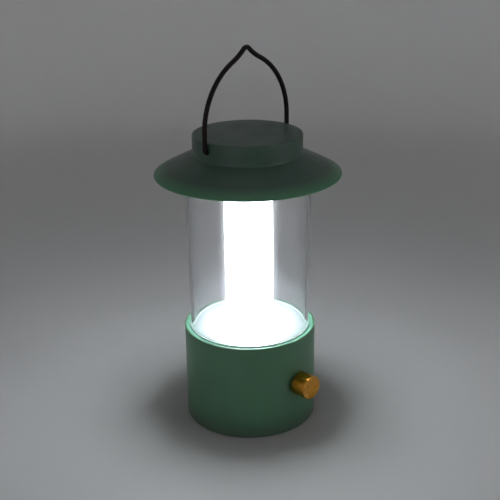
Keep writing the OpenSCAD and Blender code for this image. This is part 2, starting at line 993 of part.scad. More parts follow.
module hat()
{
    // Centre of the fillet between crown and brim, and centre of the bend at the brim's edge
    fillet_z = brim_z + crown_fillet * (1 - sin(brim_slope)) / cos(brim_slope);
    bend_start_z = brim_z - (brim_bend_r - crown_r) * tan(brim_slope);
    bend_x = brim_bend_r - brim_bend * sin(brim_slope);
    bend_z = bend_start_z - brim_bend * cos(brim_slope);
    // Where the crown's inside meets the brim's
    inner_x = crown_r - hat_wall;
    inner_z = brim_z + hat_wall * tan(brim_slope) - hat_wall / cos(brim_slope);
    // Angles at which the bend's two faces stop short of the lip
    edge_a = 90 - brim_edge_slope;
    outer_gap = 0.3;
    inner_gap = 1;
    lip_x = bend_x + (brim_bend - lip_r) * cos(edge_a);
    lip_z = bend_z + (brim_bend - lip_r) * sin(edge_a);
    outer = concat(
        [[0, hat_top]],
        arc(crown_r - crown_round, hat_top - crown_round, crown_round, 90, 0, 8),
        arc(crown_r + crown_fillet, fillet_z, crown_fillet, 180, 270 - brim_slope, 6),
        arc(bend_x, bend_z, brim_bend, 90 - brim_slope, edge_a + outer_gap, 10));
    lip = arc(lip_x, lip_z, lip_r, edge_a, edge_a - lip_turn, 12);
    inner = concat(
        arc(bend_x, bend_z, brim_bend - hat_wall, edge_a + inner_gap, 90 - brim_slope, 10),
        [[inner_x, inner_z], [inner_x, hat_top - hat_wall], [0, hat_top - hat_wall]]);
    color(GREEN)
    difference()
    {
        rotate_extrude($fn = 180) polygon(concat(outer, lip, inner));
        translate([-crown_r - cut, 0, pivot_z]) rotate([0, 90, 0])
            cylinder(r = pivot_hole_r, h = 2 * (crown_r + cut));
    }
}

// ---------- bail ----------

// A stretch of bent wire in the XZ plane: centre, bend radius, and the arc from angle a to angle a + sweep
module bent_wire(cx, cz, r, a, sweep)
{
    translate([cx, 0, cz]) rotate([90, 0, 0]) rotate([0, 0, a])
        rotate_extrude(angle = sweep, $fn = 180) translate([r, 0]) circle(r = wire_r, $fn = 32);
}

// A ball that stands slightly proud of the wire and joins two stretches into one solid
module wire_joint(x, z)
{
    translate([x, 0, z]) sphere(r = wire_r + joint_proud, $fn = 32);
}

module bail()
{
    side_cx = leg_x - side_r;
    // End of the side arc, and from it the centre of the reversed arc above it
    side_end = [side_cx + side_r * cos(side_sweep), leg_top + side_r * sin(side_sweep)];
    reverse_c = side_end + reverse_r * [cos(side_sweep), sin(side_sweep)];
    reverse_end_a = 180 + side_sweep - reverse_sweep;
    tip_start = reverse_c + reverse_r * [cos(reverse_end_a), sin(reverse_end_a)];
    tip_a = reverse_end_a - 180;
    tip_r = tip_start.x / cos(tip_a);
    tip_cz = tip_start.y - tip_r * sin(tip_a);
    color(DARK_WIRE)
    {
        mirrored_x()
        {
            translate([pin_end, 0, pivot_z]) rotate([0, 90, 0])
                cylinder(r = wire_r, h = leg_x - foot_bend - pin_end, $fn = 32);
            bent_wire(leg_x - foot_bend, pivot_z + foot_bend, foot_bend, -90, 90);
            translate([leg_x, 0, pivot_z + foot_bend])
                cylinder(r = wire_r, h = leg_top - pivot_z - foot_bend, $fn = 32);
            bent_wire(side_cx, leg_top, side_r, 0, side_sweep);
            wire_joint(side_end.x, side_end.y);
            wire_joint(tip_start.x, tip_start.y);
            bent_wire(reverse_c.x, reverse_c.y, reverse_r, reverse_end_a, reverse_sweep);
        }
        bent_wire(0, tip_cz, tip_r, tip_a, 180 - 2 * tip_a);
    }
}

module bail_retainers()
{
    color(STEEL)
    mirrored_x() translate([retainer_x, 0, pivot_z]) rotate([0, 90, 0]) difference()
    {
        cylinder(r = retainer_r, h = retainer_t);
        translate([0, 0, -cut]) cylinder(r = wire_r, h = retainer_t + 2 * cut, $fn = 32);
    }
}

// ---------- wires ----------

module battery_lead_red()
{
    color(RED) swept_tube(smooth(red_route), lead_r);
}

module battery_lead_black()
{
    color(BLACK) swept_tube(smooth(black_route), lead_r);
}

module led_leads()
{
    // Unit vector that sets the two leads side by side in their hole
    aside = [-0.5, 0.866, 0];
    color(WHITE) for (side = [-led_lead_side, led_lead_side])
        swept_tube(smooth([for (p = led_route) p + side * aside]), lead_r);
}

module dimmer_leads()
{
    color(YELLOW) for (x = terminal_columns)
        translate([x, 0, 0]) swept_tube(smooth(dimmer_route), lead_r);
}

// ---------- what is drawn ----------

base_shell();
deck_plate();
bottom_cover();
foot_ring();
cover_screws();
cover_pillars();
deck_screws();
board_standoffs();
board_screws();
driver_board();
power_inductor();
board_chips();
board_capacitors();
battery_connector();
usb_socket();
charge_led();
charge_light_pipe();
port_cover();
port_cover_anchor();
battery_holder();
battery_cells();
cell_springs();
cell_tabs();
holder_screws();
dimmer_body();
dimmer_bushing();
dimmer_washer();
dimmer_nut();
dimmer_terminals();
dimmer_shaft();
knob();
knob_set_screw();
reflector_plate();
column_foot();
column_screws();
led_core();
led_boards();
led_chips();
diffuser_tube();
column_cap();
tie_rod();
rod_washer();
rod_nut();
lower_seal();
chimney();
upper_seal();
ceiling_plate();
hat_boss();
hat();
bail();
bail_retainers();
battery_lead_red();
battery_lead_black();
led_leads();
dimmer_leads();
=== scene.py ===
"""The camping lantern's looks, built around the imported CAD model.

Lengths are millimetres, apart from those of the lights and the camera, which are metres.
"""

import json
import math

import bmesh
import bpy
from mathutils import Matrix, Vector


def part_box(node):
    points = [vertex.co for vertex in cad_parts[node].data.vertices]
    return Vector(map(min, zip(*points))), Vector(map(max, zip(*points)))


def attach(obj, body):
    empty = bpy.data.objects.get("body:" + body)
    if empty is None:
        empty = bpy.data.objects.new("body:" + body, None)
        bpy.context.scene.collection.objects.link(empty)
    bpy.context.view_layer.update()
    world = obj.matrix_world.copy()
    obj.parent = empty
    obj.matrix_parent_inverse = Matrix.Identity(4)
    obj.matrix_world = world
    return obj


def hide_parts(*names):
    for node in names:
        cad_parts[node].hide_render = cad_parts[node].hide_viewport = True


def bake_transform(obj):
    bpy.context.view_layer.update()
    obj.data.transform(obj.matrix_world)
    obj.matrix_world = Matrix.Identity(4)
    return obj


MM = 0.001
CREASE = 35  # degrees between two faces, from which their edge is shaded crisp
TOUCHING = 1e-4  # vertices closer than this are merged
ON_AXIS = 1e-6  # a ring smaller than this is one point

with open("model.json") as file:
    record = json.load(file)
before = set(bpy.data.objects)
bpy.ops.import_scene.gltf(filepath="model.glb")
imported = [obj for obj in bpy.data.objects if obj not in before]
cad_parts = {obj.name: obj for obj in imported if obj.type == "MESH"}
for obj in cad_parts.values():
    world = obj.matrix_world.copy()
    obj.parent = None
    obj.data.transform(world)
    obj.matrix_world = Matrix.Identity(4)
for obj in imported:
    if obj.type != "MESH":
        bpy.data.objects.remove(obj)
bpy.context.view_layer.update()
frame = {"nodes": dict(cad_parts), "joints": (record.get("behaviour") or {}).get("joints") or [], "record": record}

# ---------------------------------------------------------------- the frame's own measures


def low_high(node):
    """A CAD node's lowest and highest corner."""
    low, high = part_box(node)
    return low / MM, high / MM


def radii_of(node, z_low=-math.inf, z_high=math.inf):
    """The smallest and largest radius about the Z axis of a CAD node between two heights."""
    verts = frame["nodes"][node].data.vertices
    radii = [math.hypot(v.co.x, v.co.y) / MM for v in verts if z_low <= v.co.z / MM <= z_high]
    return min(radii), max(radii)


def joint_place(name):
    """The point that a joint turns about."""
    joint = next(j for j in frame["joints"] if j["name"] == name)
    return [c / MM for c in joint["pos_m"]]


drum_low, drum_high = low_high("base_shell")
drum_in_r, drum_r = radii_of("base_shell")
bail_low, bail_high = low_high("bail")
knob_low, knob_high = low_high("knob")
knob_z = (knob_low.z + knob_high.z) / 2
pivot_z = joint_place("bail_swing")[2]

# The pin that holds the port cover, and its hole in the drum's wall
PORT_PIN_X = -12
PORT_PIN_R = 1.4

# ---------------------------------------------------------------- mesh helpers


def arc(cx, cy, r, start, end, steps):
    """Points of an arc about (cx, cy), with its angles in degrees."""
    angles = (math.radians(start + (end - start) * i / steps) for i in range(steps + 1))
    return [(cx + r * math.cos(a), cy + r * math.sin(a)) for a in angles]


def line(a, b, steps):
    """Points from a to b, both included, so that a long straight stretch has rings of its own."""
    dx, dy = b[0] - a[0], b[1] - a[1]
    return [(a[0] + dx * i / steps, a[1] + dy * i / steps) for i in range(steps + 1)]


def new_object(name, bm, smooth_angle=CREASE):
    """A mesh object from bm, shaded smooth up to smooth_angle degrees."""
    bmesh.ops.remove_doubles(bm, verts=bm.verts, dist=TOUCHING)
    bmesh.ops.recalc_face_normals(bm, faces=bm.faces)
    bmesh.ops.scale(bm, vec=(MM, MM, MM), verts=bm.verts)
    mesh = bpy.data.meshes.new(name)
    bm.to_mesh(mesh)
    bm.free()
    mesh.shade_smooth()
    mesh.set_sharp_from_angle(angle=math.radians(smooth_angle))
    obj = bpy.data.objects.new(name, mesh)
    bpy.context.scene.collection.objects.link(obj)
    return obj


def rings_about_axis(bm, profile, segments):
    """A ring of vertices about the Z axis for each (radius, height) point of the profile."""
    turns = [2 * math.pi * k / segments for k in range(segments)]
    rings = []
    for r, z in profile:
        if r < ON_AXIS:
            rings.append([bm.verts.new((0, 0, z))] * segments)
        else:
            rings.append([bm.verts.new((r * math.cos(a), r * math.sin(a), z)) for a in turns])
    return rings


def bridge(bm, one, other):
    """Faces between two rings, either of which may be one vertex repeated."""
    count = len(one)
    for k in range(count):
        n = (k + 1) % count
        corners = list(dict.fromkeys((one[k], one[n], other[n], other[k])))
        if len(corners) > 2:
            bm.faces.new(corners)


def close_row(bm, rings):
    """Faces along a row of rings, and one over each end."""
    for one, other in zip(rings, rings[1:]):
        bridge(bm, one, other)
    bm.faces.new(rings[0])
    bm.faces.new(rings[-1])


def lathe(name, profile, segments=192, smooth_angle=CREASE):
    """A closed outline of (radius, height) points, turned about the Z axis."""
    bm = bmesh.new()
    rings = rings_about_axis(bm, profile, segments)
    for one, other in zip(rings, rings[1:] + rings[:1]):
        bridge(bm, one, other)
    return new_object(name, bm, smooth_angle)


def rod(bm, r, start, end, segments=64):
    """A closed cylinder in bm from one point to another."""
    start, end = Vector(start), Vector(end)
    along = end - start
    turn = along.to_track_quat("Z", "Y").to_matrix().to_4x4()
    place = Matrix.Translation((start + end) / 2) @ turn
    bmesh.ops.create_cone(bm, cap_ends=True, segments=segments, radius1=r, radius2=r,
                          depth=along.length, matrix=place)


def cut_away(obj, cutter):
    """Cuts the cutter's volume out of obj and deletes the cutter."""
    modifier = obj.modifiers.new("cut", "BOOLEAN")
    modifier.operation = "DIFFERENCE"
    modifier.solver = "EXACT"
    modifier.object = cutter
    shown = obj.evaluated_get(bpy.context.evaluated_depsgraph_get())
    mesh = bpy.data.meshes.new_from_object(shown)
    obj.modifiers.clear()
    obj.data = mesh
    bpy.data.objects.remove(cutter)
    mesh.set_sharp_from_angle(angle=math.radians(CREASE))


def stadium(bm, half_w, end_r, y0, y1, z):
    """A bar in bm along Y, whose section is a slot with round ends."""
    outline = arc(half_w, 0, end_r, -90, 90, 24) + arc(-half_w, 0, end_r, 90, 270, 24)
    close_row(bm, [[bm.verts.new((x, y, z + up)) for x, up in outline] for y in (y0, y1)])


# ---------------------------------------------------------------- material helpers

# The Mix node's sockets when it mixes colours
MIX_SHARE, MIX_A, MIX_B, MIX_RESULT = 0, 6, 7, 2


class Recipe:
    """One procedural material: a Principled shader and short calls that add what feeds it.

    Where a call takes a value, it may be a socket, a number or a colour.
    """

    def __init__(self, name, colour, roughness, metallic=0.0, specular=0.5):
        self.material = bpy.data.materials.new(name)
        self.material.use_nodes = True
        self.tree = self.material.node_tree
        self.shader = self.tree.nodes["Principled BSDF"]
        self.place = self.node("TexCoord").outputs["Object"]
        self.normal = None
        self.colour(colour)
        self.roughness(roughness)
        self.give("Metallic", metallic)
        self.give("Specular IOR Level", specular)

    def node(self, kind, **settings):
        made = self.tree.nodes.new("ShaderNode" + kind)
        for key, value in settings.items():
            setattr(made, key, value)
        return made

    def feed(self, value, target):
        """Links a socket to the target, or sets the target to a number or a colour."""
        if isinstance(value, bpy.types.NodeSocket):
            self.tree.links.new(value, target)
        elif isinstance(value, tuple):
            target.default_value = (*value, 1)
        else:
            target.default_value = value

    def give(self, name, value):
        """Feeds the shader's input of that name."""
        self.feed(value, self.shader.inputs[name])

    def colour(self, value):
        self.give("Base Color", value)

    def roughness(self, value):
        self.give("Roughness", value)

    def stretched(self, scale):
        """The object coordinates, scaled along X, Y and Z."""
        mapping = self.node("Mapping")
        mapping.inputs["Scale"].default_value = scale
        self.feed(self.place, mapping.inputs["Vector"])
        return mapping.outputs["Vector"]

    def noise(self, size, detail, vector=None):
        """Noise whose features are about size across, from 0 to 1."""
        made = self.node("TexNoise")
        made.inputs["Scale"].default_value = 1 / (size * MM)
        made.inputs["Detail"].default_value = detail
        self.feed(vector or self.place, made.inputs["Vector"])
        return made.outputs["Fac"]

    def spread(self, value, to=(0, 1), within=(0.3, 0.7)):
        """A value mapped from the range within to the range to, held at the ends."""
        made = self.node("MapRange")
        made.inputs["From Min"].default_value, made.inputs["From Max"].default_value = within
        made.inputs["To Min"].default_value, made.inputs["To Max"].default_value = to
        self.feed(value, made.inputs["Value"])
        return made.outputs["Result"]

    def maths(self, operation, *values):
        made = self.node("Math", operation=operation)
        for value, target in zip(values, made.inputs):
            self.feed(value, target)
        return made.outputs[0]

    def blend_colours(self, share, a, b):
        """A colour between a and b, by share."""
        made = self.node("Mix", data_type="RGBA")
        for value, at in ((share, MIX_SHARE), (a, MIX_A), (b, MIX_B)):
            self.feed(value, made.inputs[at])
        return made.outputs[MIX_RESULT]

    def blend_shaders(self, share, a, b):
        """A shader between a and b, by share."""
        made = self.node("MixShader")
        for value, target in zip((share, a, b), made.inputs):
            self.feed(value, target)
        return made.outputs[0]

    def patches(self, size, detail, a, b):
        """A colour that wanders between a and b, in patches about size across."""
        return self.blend_colours(self.spread(self.noise(size, detail)), a, b)

    def uneven_roughness(self, size, detail, low, high):
        """Roughness that wanders between low and high, in patches about size across."""
        self.roughness(self.spread(self.noise(size, detail), to=(low, high)))

    def length_of(self, vector):
        made = self.node("VectorMath", operation="LENGTH")
        self.feed(vector, made.inputs[0])
        return made.outputs["Value"]

    def from_axis(self):
        """The distance of a point from the lantern's axis, in metres."""
        return self.length_of(self.stretched((1, 1, 0)))

    def parts_of_place(self):
        """The object coordinates' X, Y and Z, in metres."""
        split = self.node("SeparateXYZ")
        self.feed(self.place, split.inputs[0])
        return split.outputs

    def edges(self, within=(0.51, 0.56)):
        """1 on convex edges and 0 on open surfaces."""
        return self.spread(self.node("NewGeometry").outputs["Pointiness"], within=within)

    def relief(self, socket, depth):
        """Adds a bump of that depth on top of the ones before it."""
        made = self.node("Bump")
        made.inputs["Distance"].default_value = depth * MM
        self.feed(socket, made.inputs["Height"])
        if self.normal is not None:
            self.feed(self.normal, made.inputs["Normal"])
        self.normal = made.outputs["Normal"]
        self.give("Normal", self.normal)


def lighter(colour, by):
    """A colour times a number, which may also be below 1."""
    return tuple(min(1.0, c * by) for c in colour)


def satin_paint(name, colour, rub=0.35, lip=None, foot_shade=None):
    """Powder-like satin paint: fine orange peel, faint blotches and slightly rubbed, paler edges.

    rub is how far the edges turn paler. lip is painted light: a brighter, greener colour and the two
    distances from the axis between which the paint turns into it. dirt is painted shade: a darker colour
    and the height under which the paint turns darker towards the foot.
    """
    roughness = 0.40
    smear = 0.05
    foot_shade_strength = 0.85
    m = Recipe(name, colour, roughness, specular=0.6)
    grain = m.noise(1.1, detail=2)
    base = m.patches(38, 2, lighter(colour, 0.93), lighter(colour, 1.07))
    # Painted light: the paint turns brighter and greener towards the brim's edge
    if lip:
        lit_lip_colour, lit_lip_from, lit_lip_to = lip
        lit_lip_share = m.spread(m.from_axis(), within=(lit_lip_from * MM, lit_lip_to * MM))
        base = m.blend_colours(lit_lip_share, base, lit_lip_colour)
    # Painted shade: the paint turns darker towards the foot
    if foot_shade:
        foot_shade_colour, foot_shade_top = foot_shade
        height = m.parts_of_place()["Z"]
        low_down = m.spread(height, to=(foot_shade_strength, 0), within=(0, foot_shade_top * MM))
        base = m.blend_colours(low_down, base, foot_shade_colour)
    rubbed = m.maths("MULTIPLY", m.edges(), m.spread(m.noise(6, detail=4), to=(0, rub)))
    m.colour(m.blend_colours(rubbed, base, lighter(colour, 1.7)))
    smeared = m.spread(m.noise(16, detail=4), to=(roughness - smear, roughness + smear))
    m.roughness(m.maths("ADD", smeared, m.maths("MULTIPLY", grain, 0.03)))
    m.relief(grain, depth=0.035)
    m.relief(m.noise(9, detail=2), depth=0.05)
    return m.material


def coated_wire(name):
    """Dark brown-black dipped coating on steel wire, worn a little shiny."""
    colour = (0.007, 0.004, 0.0035)
    m = Recipe(name, colour, 0.45, specular=0.2)
    m.colour(m.patches(5, 4, colour, (0.016, 0.008, 0.007)))
    m.uneven_roughness(3, 4, 0.38, 0.52)
    m.relief(m.noise(0.8, detail=3), depth=0.02)
    return m.material


def turned_brass(name):
    """Polished brass turned on a lathe: fine rings on face and side, a faint tarnish, and a painted highlight that
    makes its convex edges brighter.
    """
    colour = (0.68, 0.31, 0.03)
    ring_pitch = 0.22
    painted_edge_highlight = 0.5
    m = Recipe(name, colour, 0.22, metallic=1.0)
    tarnish = m.spread(m.noise(4, detail=5), within=(0.35, 0.75))
    base = m.blend_colours(tarnish, colour, (0.54, 0.23, 0.022))
    # Painted highlight: the convex edges are painted a brighter brass
    highlight_share = m.maths("MULTIPLY", m.edges(within=(0.505, 0.54)), painted_edge_highlight)
    m.colour(m.blend_colours(highlight_share, base, (0.80, 0.45, 0.12)))
    m.uneven_roughness(2.5, 4, 0.16, 0.30)
    # Rings about the knob's axis, by the distance from it on the face and along it on the side
    place = m.parts_of_place()
    flat = m.node("CombineXYZ")
    m.feed(place["X"], flat.inputs["X"])
    m.feed(m.maths("SUBTRACT", place["Z"], knob_z * MM), flat.inputs["Y"])
    ring_at = m.maths("ADD", m.length_of(flat.outputs[0]), place["Y"])
    rings = m.maths("SINE", m.maths("MULTIPLY", ring_at, 2 * math.pi / (ring_pitch * MM)))
    m.relief(rings, depth=0.003)
    m.relief(m.noise(0.5, detail=2), depth=0.0015)
    return m.material


def metal(name, colour, roughness, grain=(1, 1, 1)):
    """Bare or plated metal with a fine grain, stretched for drawn or brushed stock."""
    m = Recipe(name, colour, roughness, metallic=1.0)
    m.colour(m.patches(7, 4, lighter(colour, 0.82), lighter(colour, 1.1)))
    lines = m.noise(0.8, detail=3, vector=m.stretched(grain))
    m.roughness(m.spread(lines, to=(roughness - 0.08, roughness + 0.1)))
    m.relief(lines, depth=0.006)
    return m.material


def moulded(name, colour, roughness=0.5, texture=0.6, depth=0.02):
    """Moulded plastic or rubber with a spark-eroded texture and slightly paler edges."""
    m = Recipe(name, colour, roughness)
    base = m.patches(12, 3, lighter(colour, 0.85), lighter(colour, 1.15))
    edge = m.maths("MULTIPLY", m.edges(), 0.4)
    m.colour(m.blend_colours(edge, base, lighter(colour, 2.0)))
    skin = m.noise(texture, detail=3)
    m.roughness(m.spread(skin, to=(roughness - 0.08, roughness + 0.08)))
    m.relief(skin, depth)
    return m.material


def lead_insulation(name, colour):
    """The smooth soft plastic round an internal lead."""
    return moulded(name, colour, 0.4, texture=1.5, depth=0.01)


def reflector_white(name):
    """Grey enamel with a faint dust, and a mist of green overspray towards the disc's edge.

    The lit column that stands on it makes it look white.
    """
    middle = (0.20, 0.205, 0.225)
    dust = (0.18, 0.184, 0.20)
    misted = (0.085, 0.112, 0.108)
    mist_w = 14
    disc_r = radii_of("reflector_plate")[1]
    m = Recipe(name, middle, 0.5)
    enamel = m.patches(9, 5, dust, middle)
    edge = m.spread(m.from_axis(), within=((disc_r - mist_w) * MM, disc_r * MM))
    m.colour(m.blend_colours(edge, enamel, misted))
    m.uneven_roughness(4, 3, 0.44, 0.58)
    m.relief(m.noise(0.9, detail=3), depth=0.015)
    return m.material


def lit_diffuser(name, strength):
    """Frosted white plastic lit from inside, with faint bands as far apart as the rows of lamps."""
    rows = 9
    band = 0.05
    boards_low, boards_high = low_high("led_boards")
    pitch = (boards_high.z - boards_low.z) / rows
    m = Recipe(name, (0.93, 0.95, 0.97), 0.5)
    turns = m.maths("MULTIPLY", m.parts_of_place()["Z"], 2 * math.pi / (pitch * MM))
    wave = m.maths("COSINE", turns)
    m.give("Emission Color", (0.91, 0.955, 1.0))
    m.give("Emission Strength",
           m.spread(wave, to=(strength * (1 - band), strength * (1 + band)), within=(-1, 1)))
    m.uneven_roughness(1.5, 3, 0.45, 0.6)
    m.relief(m.noise(0.6, detail=2), depth=0.015)
    return m.material


def clear_plastic(name, used=True):
    """Clear polished plastic; where it is used, also smudged, hazy, and darker side-on.

    Rays from lamps pass straight through it, so that the column lights what is outside.
    """
    ior = 1.49
    haze_share = 0.05
    haze_roughness = 0.4
    m = Recipe(name, (0.97, 0.975, 0.985), 0.02)
    m.give("Transmission Weight", 1.0)
    m.give("IOR", ior)
    body = m.shader.outputs[0]
    if used:
        side_on = m.spread(m.node("LayerWeight").outputs["Facing"], within=(0.45, 0.95))
        m.colour(m.blend_colours(side_on, (0.965, 0.97, 0.985), (0.80, 0.82, 0.85)))
        m.uneven_roughness(14, 2, 0.015, 0.045)
        # A thin haze, which glows where it is close to the lit column
        haze = m.node("BsdfRefraction")
        haze.inputs["Roughness"].default_value = haze_roughness
        haze.inputs["IOR"].default_value = ior
        body = m.blend_shaders(haze_share, body, haze.outputs[0])
    through = m.node("BsdfTransparent")
    through.inputs["Color"].default_value = (0.93, 0.94, 0.95, 1)
    is_shadow = m.node("LightPath").outputs["Is Shadow Ray"]
    shown = m.blend_shaders(is_shadow, body, through.outputs[0])
    m.feed(shown, m.tree.nodes["Material Output"].inputs["Surface"])
    return m.material


def silicone(name):
    """Milky silicone, as the chimney's seals are."""
    m = Recipe(name, (0.54, 0.66, 0.62), 0.45)
    m.colour(m.patches(5, 3, (0.50, 0.62, 0.58), (0.58, 0.70, 0.66)))
    m.uneven_roughness(1.2, 3, 0.38, 0.52)
    m.relief(m.noise(0.7, detail=2), depth=0.01)
    return m.material


def circuit_board(name, mask, copper):
    """Solder mask over copper tracks that run square to each other."""
    track_pitch = 14
    m = Recipe(name, mask, 0.3)
    tracks = m.node("TexBrick")
    tracks.inputs["Scale"].default_value = 1 / (track_pitch * MM)
    tracks.inputs["Mortar Size"].default_value = 0.03
    for socket, grey in (("Color1", 0), ("Color2", 0.2), ("Mortar", 1)):
        m.feed((grey, grey, grey), tracks.inputs[socket])
    m.feed(m.place, tracks.inputs["Vector"])
    m.colour(m.blend_colours(tracks.outputs["Color"], mask, copper))
    m.uneven_roughness(2, 3, 0.22, 0.4)
    m.relief(tracks.outputs["Fac"], depth=0.02)
    return m.material


def phosphor(name):
    """The yellow face of a lit lamp on its strip."""
    m = Recipe(name, (0.95, 0.75, 0.25), 0.4)
    m.colour(m.patches(0.4, 2, (0.95, 0.70, 0.20), (0.98, 0.84, 0.40)))
    m.give("Emission Color", (1.0, 0.95, 0.85))
    m.give("Emission Strength", 4.0)
    m.uneven_roughness(0.3, 2, 0.3, 0.5)
    m.relief(m.noise(0.2, detail=2), depth=0.01)
    return m.material


def shrink_wrap(name):
    """Blue shrink-wrapped sleeve with faint rings where it has pulled tight."""
    colour = (0.03, 0.12, 0.42)
    m = Recipe(name, colour, 0.28)
    m.colour(m.patches(10, 3, colour, (0.05, 0.17, 0.52)))
    pulls = m.noise(2.5, detail=2, vector=m.stretched((1, 0.1, 0.1)))
    m.roughness(m.spread(pulls, to=(0.2, 0.36)))
    m.relief(pulls, depth=0.04)
    return m.material


def pale_floor(name):
    """The floor's matt grey near the lantern, which turns paler further out: painted shade near the lantern
    against its lamp's strong light, and painted light on the far floor and backdrop where that light falls off.
    """
    near, far = (0.42, 0.415, 0.41), (0.88, 0.87, 0.86)
    m = Recipe(name, near, 0.7)
    # Painted shade near the lantern and painted light further out: the floor turns paler with the distance from
    # the axis
    m.colour(m.blend_colours(m.spread(m.from_axis(), within=(0.2, 1.0)), near, far))
    m.uneven_roughness(60, 2, 0.65, 0.75)
    return m.material


def use(obj, material):
    """Gives a piece or a CAD node its material."""
    obj.data.materials.clear()
    obj.data.materials.append(material)


# ---------------------------------------------------------------- the lantern's own materials

# Painted shade, darker towards the drum's foot: a colour and the height under which it darkens the paint
PAINTED_FOOT_SHADE = ((0.062, 0.098, 0.075), 16)
# Painted light on the hat's brim: a brighter, greener colour and the distances from the axis where it takes over
PAINTED_LIGHT_LIP = ((0.070, 0.225, 0.118), 51.5, 59)
LAMP_STRENGTH = 48.0

green = satin_paint("paint_green", (0.062, 0.179, 0.094), foot_shade=PAINTED_FOOT_SHADE)
# Painted light: the deck's paint is a much paler copy of the drum's green, as the lit column makes it look
deck_green_painted_light = satin_paint("paint_deck_green", (0.22, 0.50, 0.38))
# Painted shade: the hat's paint is a darker, greyer copy of the drum's green, with painted light on its brim's
# outer band
hat_green_painted_shade = satin_paint("paint_hat_green", (0.047, 0.096, 0.071), rub=0.15, lip=PAINTED_LIGHT_LIP)
wire_coat = coated_wire("wire_coating")
brass = turned_brass("turned_brass")
steel = metal("plated_steel", (0.56, 0.57, 0.58), 0.34)
aluminium = metal("drawn_aluminium", (0.78, 0.79, 0.80), 0.3, grain=(1, 1, 0.03))
black_plastic = moulded("black_plastic", (0.022, 0.022, 0.024))
rubber = moulded("black_rubber", (0.020, 0.020, 0.021), 0.68, texture=0.35, depth=0.012)
white_plastic = moulded("white_plastic", (0.78, 0.79, 0.78), 0.45)
white_paint = reflector_white("reflector_white")
diffuser = lit_diffuser("lit_diffuser", LAMP_STRENGTH)
glass = clear_plastic("clear_chimney")
pipe_clear = clear_plastic("clear_pipe", used=False)
seal = silicone("seal_silicone")
board = circuit_board("driver_board", (0.012, 0.10, 0.04), (0.05, 0.22, 0.09))
led_board = circuit_board("lamp_strip", (0.80, 0.81, 0.80), (0.62, 0.63, 0.60))
lamp = phosphor("lamp_phosphor")
cell_wrap = shrink_wrap("cell_wrap")
red_lead = lead_insulation("red_lead", (0.50, 0.02, 0.015))
black_lead = lead_insulation("black_lead", (0.02, 0.02, 0.02))
white_lead = lead_insulation("white_lead", (0.78, 0.78, 0.76))
yellow_lead = lead_insulation("yellow_lead", (0.62, 0.42, 0.04))

SLOT_MATERIALS = {
    "green_paint": green, "black_plastic": black_plastic, "rubber": rubber, "seal": seal,
    "steel": steel, "brass": brass, "aluminium": aluminium, "white_plastic": white_plastic,
    "white_paint": white_paint, "board": board, "led_board": led_board, "led": lamp,
    "diffuser": diffuser, "clear": pipe_clear, "dark_wire": wire_coat, "cell_wrap": cell_wrap,
    "red_lead": red_lead, "black_lead": black_lead, "white_lead": white_lead,
    "yellow_lead": yellow_lead,
}


def dress_cad_nodes():
    """Gives every CAD node its material by its slot, and smooth shading with crisp edges."""
    for row in frame["record"]["subparts"]:
        node = frame["nodes"][row["node"]]
        by_slot = SLOT_MATERIALS[row["material_slot"]]
        # The deck plate gets the paler painted-light copy of the green paint
        look = deck_green_painted_light if row["node"] == "deck_plate" else by_slot
        use(node, look)
        node.data.shade_smooth()
        node.data.set_sharp_from_angle(angle=math.radians(CREASE))


# ---------------------------------------------------------------- pieces


def make_hat():
    """The spun hat: crown, brim that turns down to its rolled lip, and two holes for the bail."""
    top = low_high("hat")[1].z
    crown_r = 35.1
    wall = 1.5
    corner = 1.0
    fillet = 1.5
    brim_z = 182.7
    slope = 26.5
    edge_slope = 31
    bend_start_r = 52.3
    bend_r = 105
    lip_r = 0.8
    lip_turn = 200
    hole_r = 1.58
    fall = math.tan(math.radians(slope))
    lean = math.cos(math.radians(slope))
    rise = math.sin(math.radians(slope))
    fillet_z = brim_z + fillet * (1 - rise) / lean
    # The brim's bend, whose centre lies far below it, and the roll of its lip
    bend_x = bend_start_r - bend_r * rise
    bend_z = brim_z - (bend_start_r - crown_r) * fall - bend_r * lean
    edge = 90 - edge_slope
    outer_end = edge + 0.3
    inner_end = edge + 1
    lip_x = bend_x + (bend_r - lip_r) * math.cos(math.radians(edge))
    lip_z = bend_z + (bend_r - lip_r) * math.sin(math.radians(edge))
    inner_x = crown_r - wall
    inner_z = brim_z + wall * fall - wall / lean
    outer_fillet = arc(crown_r + fillet, fillet_z, fillet, 180, 270 - slope, 8)
    outer_bend = arc(bend_x, bend_z, bend_r, 90 - slope, outer_end, 12)
    inner_bend = arc(bend_x, bend_z, bend_r - wall, inner_end, 90 - slope, 12)
    profile = line((0, top), (crown_r - corner, top), 8)
    profile += arc(crown_r - corner, top - corner, corner, 90, 0, 8)[1:]
    profile += line(profile[-1], outer_fillet[0], 4)[1:-1]
    profile += outer_fillet
    profile += line(outer_fillet[-1], outer_bend[0], 8)[1:-1]
    profile += outer_bend
    profile += arc(lip_x, lip_z, lip_r, edge, edge - lip_turn, 14)
    profile += inner_bend
    profile += line(inner_bend[-1], (inner_x, inner_z), 8)[1:]
    profile += line((inner_x, inner_z), (inner_x, top - wall), 4)[1:]
    profile += line((inner_x, top - wall), (0, top - wall), 6)[1:]
    hat = lathe("hat_shell", profile, segments=256)
    holes = bmesh.new()
    hole_end = crown_r + 5
    rod(holes, hole_r, (-hole_end, 0, pivot_z), (hole_end, 0, pivot_z))
    cut_away(hat, new_object("hat_holes", holes))
    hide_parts("hat")
    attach(hat, "lantern")
    # The hat gets the darker painted-shade copy of the green paint
    use(hat, hat_green_painted_shade)


